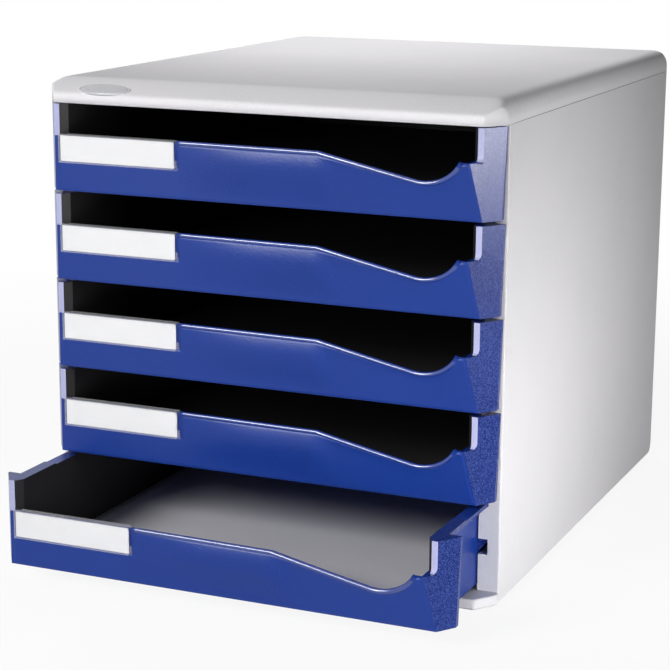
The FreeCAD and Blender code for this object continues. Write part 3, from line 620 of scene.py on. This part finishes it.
# %% Card
def paper(name, colour, fibre_colour):
    """Matt sheet whose colour and height follow a stretched noise, the fibres."""
    material, tree = new_material(name)
    place = add_node(tree, "TexCoord").outputs["Object"]
    along = add_node(tree, "Mapping", {"Vector": place}, vector_type="POINT")
    along.inputs["Scale"].default_value = (0.4, 1.0, 1.0)
    fibres = add_node(tree, "TexNoise", {"Vector": along.outputs["Vector"]}, Scale=1 / (1.0 * MM), Detail=4.0)
    tint = add_node(tree, "Mix", {0: fibres.outputs["Fac"]}, data_type="RGBA")
    tint.inputs[6].default_value = linear(colour)
    tint.inputs[7].default_value = linear(fibre_colour)
    bump = add_node(tree, "Bump", {"Height": fibres.outputs["Fac"]}, Strength=1.0, Distance=0.01 * MM)
    shader = add_node(tree, "BsdfPrincipled", {
        "Base Color": tint.outputs[2], "Normal": bump.outputs["Normal"]}, Roughness=0.8, IOR=1.5)
    add_node(tree, "OutputMaterial", {"Surface": shader.outputs[0]})
    return material


# %% Sleeves and cards in place
# Sleeves: polished inside the mould and a little dulled by handling, so they glint here and there.
sleeve_plastic = clear_plastic("clear_polystyrene")
# Cards: uncoated paper, which looks white and flat from everywhere.
card_paper = paper("white_card", "#fbfbfa", "#f1f1f2")
for body in drawer_bodies:
    give(soften(nodes[body + "_label_holder"], 0.2), sleeve_plastic)
    give(nodes[body + "_label_card"], card_paper)
print("sleeves:", len(drawer_bodies))

# %% [markdown]
# ## Mats
# A loose grey sheet lies on each tray's floor. A real one is never quite
# flat: it rises and falls by two tenths of a millimetre in long waves, and
# its edge is cut, not moulded. A displaced plane would need many more faces,
# so the top is a height function on a grid, and the sheet is then closed by
# the same outline at the floor.

# %% Sheet with a wavy top on a grid
WAVE_SHARE = 0.25


def sheet_on_grid(name, low, high, columns=44, rows=58):
    """Closed sheet. The top is z = high - w (1 - s), with s = (2 + sin 3u cos 2v + cos 2u sin 3v) / 4, u and
    v from 0 to pi, and w a quarter of the thickness; the underside is flat at z = low."""
    u, v = np.meshgrid(np.linspace(0, 1, columns), np.linspace(0, 1, rows))
    swell = (2 + np.sin(3 * np.pi * u) * np.cos(2 * np.pi * v)
             + np.cos(2 * np.pi * u) * np.sin(3 * np.pi * v)) / 4
    thickness = high.z - low.z
    x = low.x + (high.x - low.x) * u
    y = low.y + (high.y - low.y) * v
    top = np.stack([x, y, high.z - WAVE_SHARE * thickness * (1 - swell)], axis=-1).reshape(-1, 3)
    under = np.stack([x, y, np.full_like(x, low.z)], axis=-1).reshape(-1, 3)
    return closed_grid(name, top, under, columns, rows)


# %% Grey sheet material
def grey_sheet(name, colour, fleck_colour):
    """Matt foil with an embossed grain of 1.5 mm cells, drawn coarse enough to show."""
    material, tree = new_material(name)
    place = add_node(tree, "TexCoord").outputs["Object"]
    cells = add_node(tree, "TexVoronoi", {"Vector": place}, Scale=1 / (1.5 * MM))
    cloud = add_node(tree, "TexNoise", {"Vector": place}, Scale=1 / (45 * MM), Detail=3.0)
    tint = add_node(tree, "Mix", {0: cloud.outputs["Fac"]}, data_type="RGBA")
    tint.inputs[6].default_value = linear(colour)
    tint.inputs[7].default_value = linear(fleck_colour)
    bump = add_node(tree, "Bump", {"Height": cells.outputs["Distance"]}, Strength=1.0, Distance=0.05 * MM)
    shader = add_node(tree, "BsdfPrincipled", {
        "Base Color": tint.outputs[2], "Normal": bump.outputs["Normal"]}, Roughness=0.62, IOR=1.5)
    add_node(tree, "OutputMaterial", {"Surface": shader.outputs[0]})
    return material


# %% Mats in place
# Mat of the open drawer: rolled grey foil with a pressed grain, which breaks up the light and shows no gloss.
grey_foil = grey_sheet("embossed_grey_foil", "#e2e0e4", "#d8d6da")
# Mats of the shut drawers: painted shade, the same foil drawn dark as it looks in deep shade.
shaded_foil = grey_sheet("embossed_foil_painted_shade", "#252424", "#201f20")
for body in drawer_bodies:
    low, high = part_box(body + "_mat")
    mat = sheet_on_grid(body + "_liner", low, high)
    # Shut drawers get the foil in painted shade.
    give(mat, grey_foil if body == "drawer_5" else shaded_foil)
    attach(mat, body)
    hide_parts(body + "_mat")
print("mat size in mm:", [round((b - a) / MM, 1) for a, b in zip(low, high)])

# %% [markdown]
# ## Badge and feet
# The badge is a small blank oval plate, pressed so that a narrow rim runs
# round a low dome. The feet are rubber pads with a rounded edge and a
# shallow dish. A lathe tool or a Screw modifier could turn them, but both
# are a profile turned round an axis, so one function makes both, and the
# badge stretches its rings into ovals.

# %% Rings from a profile
def turned(radii, heights, centre, across, along, sides=72):
    """Rings of points: centre + r (across cos t + along sin t) + h up, with t from 0 to 2 pi and up at a
    right angle to across and along."""
    turn = np.linspace(0, 2 * np.pi, sides, endpoint=False)[None, :, None]
    across, along = np.asarray(across, float), np.asarray(along, float)
    up = np.cross(across / np.linalg.norm(across), along / np.linalg.norm(along))
    radii, heights = np.asarray(radii, float)[:, None, None], np.asarray(heights, float)[:, None, None]
    points = np.asarray(centre) + radii * (across * np.cos(turn) + along * np.sin(turn)) + heights * up
    ring = np.arange(len(radii) * sides).reshape(len(radii), sides)
    after = np.roll(ring, -1, axis=1)
    faces = np.stack([ring[:-1], after[:-1], after[1:], ring[1:]], axis=-1).reshape(-1, 4)
    return points.reshape(-1, 3), faces


def turned_piece(name, parts):
    """One object from several turned shapes. Their first and last radius are nearly nothing, and solid_piece
    fills the pinholes that these leave."""
    points, faces, count = [], [], 0
    for part_points, part_faces in parts:
        points.append(part_points)
        faces.append(part_faces + count)
        count += len(part_points)
    return solid_piece(name, np.concatenate(points) * MM, np.concatenate(faces))


# %% Badge
badge_low, badge_high = (np.array(corner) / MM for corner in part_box("badge"))
badge_centre = (badge_low + badge_high) / 2
HALF_LONG, HALF_SHORT = (badge_high[0] - badge_low[0]) / 2, 5.5
BAND_MIDDLE, BAND_FOOT = 9.6, 5.0  # heights of the lid's sloping band over its underside
PINPOINT = 0.001
tilt = np.arctan2(BAND_MIDDLE - BAND_FOOT, BAND_RUN / 2)
uphill = np.array([0, np.cos(tilt), np.sin(tilt)])
# Profile from the middle of the underside, round the rim and up the dome. Radii are shares of the plate's
# own, and heights are in mm. The dome's height at a share s of its radius is 0.35 + 0.9 root(1 - (0.86 s)^2).
rim_radii = [0.97, 1.0, 1.0, 0.985, 0.955, 0.925, 0.905]
rim_heights = [-0.55, -0.45, 0.45, 0.68, 0.72, 0.6, 0.36]
share = np.linspace(1, 0, 9)
dome = 0.35 + 0.9 * np.sqrt(1 - (0.86 * share) ** 2)
radii = np.concatenate([[PINPOINT], rim_radii, 0.89 * share[:-1], [PINPOINT]])
heights = np.concatenate([rim_heights[:1], rim_heights, dome])
plate = turned(radii, heights, badge_centre, (HALF_LONG, 0, 0), HALF_SHORT * uphill)
badge = turned_piece("badge_plate", [plate])
# Badge: a grey plate moulded against polished steel, which mirrors the lamps as a small bright patch.
badge_plastic = moulded_plastic("polished_grey_plate", "#c4c4c8", "#b9b9be", roughness=0.16,
                                grain_mm=2.0, grain_height_mm=0.002, gloss=0.7)
give(badge, badge_plastic)
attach(badge, "housing")
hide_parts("badge")
print("badge in mm:", np.round(badge_high - badge_low, 1))
print("tilted by", round(float(np.degrees(tilt)), 1), "degrees")

# %% Dark rubber
def rubber(name, colour):
    """Matt elastomer with a bloom of spots, drawn at 0.8 mm, coarser than the real one, so that it shows."""
    material, tree = new_material(name)
    place = add_node(tree, "TexCoord").outputs["Object"]
    bloom = add_node(tree, "TexNoise", {"Vector": place}, Scale=1 / (0.8 * MM), Detail=3.0)
    bump = add_node(tree, "Bump", {"Height": bloom.outputs["Fac"]}, Strength=1.0, Distance=0.02 * MM)
    shader = add_node(tree, "BsdfPrincipled", {"Normal": bump.outputs["Normal"]},
                      Base_Color=linear(colour), Roughness=0.75, IOR=1.52)
    add_node(tree, "OutputMaterial", {"Surface": shader.outputs[0]})
    return material


# %% Feet
foot_low, foot_high = (np.array(corner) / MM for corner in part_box("rubber_feet"))
PAD_RADIUS, PAD_HEIGHT = 6.0, 2.5
# Profile from the middle of the shallow dish, over the ring it stands on and the rounded edge, to the top
pad_radii = [PINPOINT, 3.6, 4.2, 5.2, 5.75, PAD_RADIUS, PAD_RADIUS, PINPOINT]
pad_heights = [0.35, 0.3, 0.0, 0.0, 0.2, 0.7, PAD_HEIGHT, PAD_HEIGHT]
pads = [turned(pad_radii, pad_heights, (x, y, foot_low[2]), (1, 0, 0), (0, 1, 0))
        for x in (foot_low[0] + PAD_RADIUS, foot_high[0] - PAD_RADIUS)
        for y in (foot_low[1] + PAD_RADIUS, foot_high[1] - PAD_RADIUS)]
feet = turned_piece("foot_pads", pads)
# Pads: moulded soft rubber, so dull that it shows hardly more than its shade.
give(feet, rubber("dark_rubber", "#2b2a2c"))
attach(feet, "housing")
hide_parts("rubber_feet")
print("pads:", len(pads))

# %% [markdown]
# ## Seam under the lid
# The lid sits on the side panels with a hairline gap. The two solids touch,
# and a groove cut into both would be work for a line of a pixel, so the gap
# is drawn as a thin dark cord lying half sunk in the joint.

# %% Cord along the seam
SEAM_FRONT, SEAM_BACK, SEAM_RADIUS, SEAM_SINK = -160.0, 177.2, 0.2, 0.1


def seam(name, x, z, steps=30):
    """Tube along the joint, from the front post to the back. Its radius is 0.2 mm times (sin t)^0.1, with t
    from nearly 0 to nearly pi, so it ends in two blunt tips."""
    y = np.linspace(SEAM_FRONT, SEAM_BACK, steps)
    path = np.stack([np.full_like(y, x), y, np.full_like(y, z)], axis=-1)
    radii = SEAM_RADIUS * np.sin(np.linspace(PINPOINT, np.pi - PINPOINT, steps)) ** 0.1
    points, faces = tube(path, radii, (1, 0, 0))
    return solid_piece(name, points * MM, faces)


lid_low, lid_high = (np.array(corner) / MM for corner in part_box("lid"))
# Gap: no material of its own but shade, which the dull rubber's nodes show in a middle grey.
gap_shade = rubber("shaded_gap", "#5a595c")
for side, name in ((1, "seam_right"), (-1, "seam_left")):
    cord = seam(name, side * (lid_high[0] - SEAM_SINK), lid_low[2])
    give(cord, gap_shade)
    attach(cord, "housing")
print("seam height in mm:", round(float(lid_low[2]), 1))

# %% [markdown]
# ## Floor and background
# The floor is a plain pale sheet, which shows as white to the camera and to
# reflections, and keeps the object's soft shadow. One white sheet bent up
# behind the object would do as well, but it would glow on the object from
# all sides and wash its shades out, so only the rays that are seen find it
# white.

# %% Rays that are seen
def seen_rays(tree):
    """Node that is 1 for rays of the camera, of mirror images and through clear walls, and 0 for others."""
    path = add_node(tree, "LightPath")
    seen = add_node(tree, "Math", {0: path.outputs["Is Camera Ray"], 1: path.outputs["Is Glossy Ray"]},
                    operation="MAXIMUM")
    return add_node(tree, "Math", {0: seen.outputs[0], 1: path.outputs["Is Transmission Ray"]},
                    operation="MAXIMUM")


# %% Floor
SHADOW_NEAR, SHADOW_FAR, LEAST_GLOW = 0.3, 0.9, 0.9


def pale_ground(name, bounce):
    """Matt floor. Camera, glossy and transmitted rays see it white, with a faint shadow near the object only:
    the share of glow grows from 0.9 to 1 between 0.3 and 0.9 m from the middle. Other rays see a dimmer
    sheet."""
    material, tree = new_material(name)
    seen = seen_rays(tree)
    place = add_node(tree, "TexCoord").outputs["Object"]
    radius = add_node(tree, "VectorMath", {0: place}, operation="LENGTH")
    glow = add_node(tree, "MapRange", {"Value": radius.outputs["Value"]},
                    From_Min=SHADOW_NEAR, From_Max=SHADOW_FAR, To_Min=LEAST_GLOW)
    share = add_node(tree, "Math", {0: seen.outputs[0], 1: glow.outputs["Result"]}, operation="MULTIPLY")
    sheet = add_node(tree, "Mix", {0: seen.outputs[0]}, data_type="RGBA")
    sheet.inputs[6].default_value = linear(bounce)
    sheet.inputs[7].default_value = linear("#ffffff")
    matt = add_node(tree, "BsdfDiffuse", {"Color": sheet.outputs[2]})
    light = add_node(tree, "Emission", Color=(1, 1, 1, 1), Strength=1.0)
    mixed = add_node(tree, "MixShader", {0: share.outputs[0], 1: matt.outputs[0], 2: light.outputs[0]})
    add_node(tree, "OutputMaterial", {"Surface": mixed.outputs[0]})
    return material


FLOOR_HALF, FLOOR_DROP = 8.0, 0.2 * MM
floor_points = FLOOR_HALF * np.array([[-1, -1, 0], [1, -1, 0], [1, 1, 0], [-1, 1, 0]])
floor_points[:, 2] = -FLOOR_DROP
ground = mesh_piece("ground", floor_points, np.array([[0, 1, 2, 3]]))
# Floor: matt paper of a studio's roll, which gives back light but no image.
give(ground, pale_ground("pale_floor", "#c8c8c8"))
print("floor in metres:", 2 * FLOOR_HALF, "square")

# %% Background
DIM, WHITE = 0.08, 1.0
world = bpy.data.worlds.new("studio")
bpy.context.scene.world = world
world.use_nodes = True
sky_tree = world.node_tree
sky_tree.nodes.clear()
seen = seen_rays(sky_tree)
strength = add_node(sky_tree, "MapRange", {"Value": seen.outputs[0]}, To_Min=DIM, To_Max=WHITE)
sky = add_node(sky_tree, "Background", {"Strength": strength.outputs["Result"]}, Color=(1, 1, 1, 1))
add_node(sky_tree, "OutputWorld", {"Surface": sky.outputs[0]})
print("background for rays that are seen:", WHITE, "and for others:", DIM)

# %% [markdown]
# ## Lamps
# The light is a studio's. A large lamp before the object lights the drawer
# fronts, a low one from the right fades up and back along the side wall, and
# a small narrow one from behind brightens the far end of the lid. These two
# cast no mirror image. The last two do nothing else: one draws a soft patch
# on the wings and the other on the fronts, so gloss and shade can be set
# apart.

# %% Lamps
def lamp(name, place, aim, size, power, beam=180):
    """Rectangular area lamp at a place, turned to a point. Sizes are in metres, power in watts and the beam
    in degrees."""
    light = bpy.data.lights.new(name, "AREA")
    light.shape = "RECTANGLE"
    light.size, light.size_y = size
    light.energy = power
    light.spread = radians(beam)
    holder = bpy.data.objects.new(name, light)
    holder.location = place
    holder.rotation_euler = (Vector(aim) - Vector(place)).to_track_quat("-Z", "Y").to_euler()
    holder.visible_camera = False
    bpy.context.scene.collection.objects.link(holder)
    return holder


lamp("front", (-0.85, -1.75, 1.05), aim=(0.0, -0.1, 0.12), size=(0.9, 0.6), power=32.5)
right = lamp("right", (0.75, -0.50, 0.06), aim=(0.14, -0.12, 0.06), size=(0.3, 0.2), power=0.8, beam=60)
back = lamp("back", (-0.45, 0.60, 0.75), aim=(-0.05, 0.14, 0.29), size=(0.4, 0.3), power=0.42, beam=28)
right.visible_glossy = back.visible_glossy = False
wing_gloss = lamp("gloss_right", (0.8, -0.25, 0.25), aim=(0.14, -0.17, 0.25), size=(0.3, 0.12), power=0.62,
                  beam=40)
front_gloss = lamp("gloss_front", (-0.3, -1.6, 0.50), aim=(0.0, -0.18, 0.2), size=(0.5, 0.3), power=12.0)
wing_gloss.visible_diffuse = front_gloss.visible_diffuse = False

# %% [markdown]
# ## Camera
# The camera's place comes from the photograph's own perspective: it stands
# 23 degrees to the right of the front, 13 degrees up and 1.3 m away. A
# shifted lens would keep the upright lines parallel, but the other views
# share this lens, so it has no shift.

# %% Camera
AZIMUTH, ELEVATION, ROLL = radians(23.37), radians(12.99), radians(0.37)
DISTANCE = 1.3237
LENS_PIXELS, FRAME_PIXELS = 1991.0, 670.0
target = Vector((-0.0296, 0.0, 0.1089))
outward = Vector((np.sin(AZIMUTH) * np.cos(ELEVATION), -np.cos(AZIMUTH) * np.cos(ELEVATION),
                  np.sin(ELEVATION)))
eye = bpy.data.cameras.new("camera")
eye.sensor_width = 36.0
eye.lens = LENS_PIXELS / FRAME_PIXELS * eye.sensor_width
camera = bpy.data.objects.new("camera", eye)
bpy.context.scene.collection.objects.link(camera)
turn = outward.to_track_quat("Z", "Y").to_matrix().to_4x4()
camera.matrix_world = Matrix.Translation(target + DISTANCE * outward) @ turn @ Matrix.Rotation(ROLL, 4, "Z")
bpy.context.scene.camera = camera
bpy.context.scene.view_settings.view_transform = "Standard"
print("lens in mm:", round(eye.lens, 1))
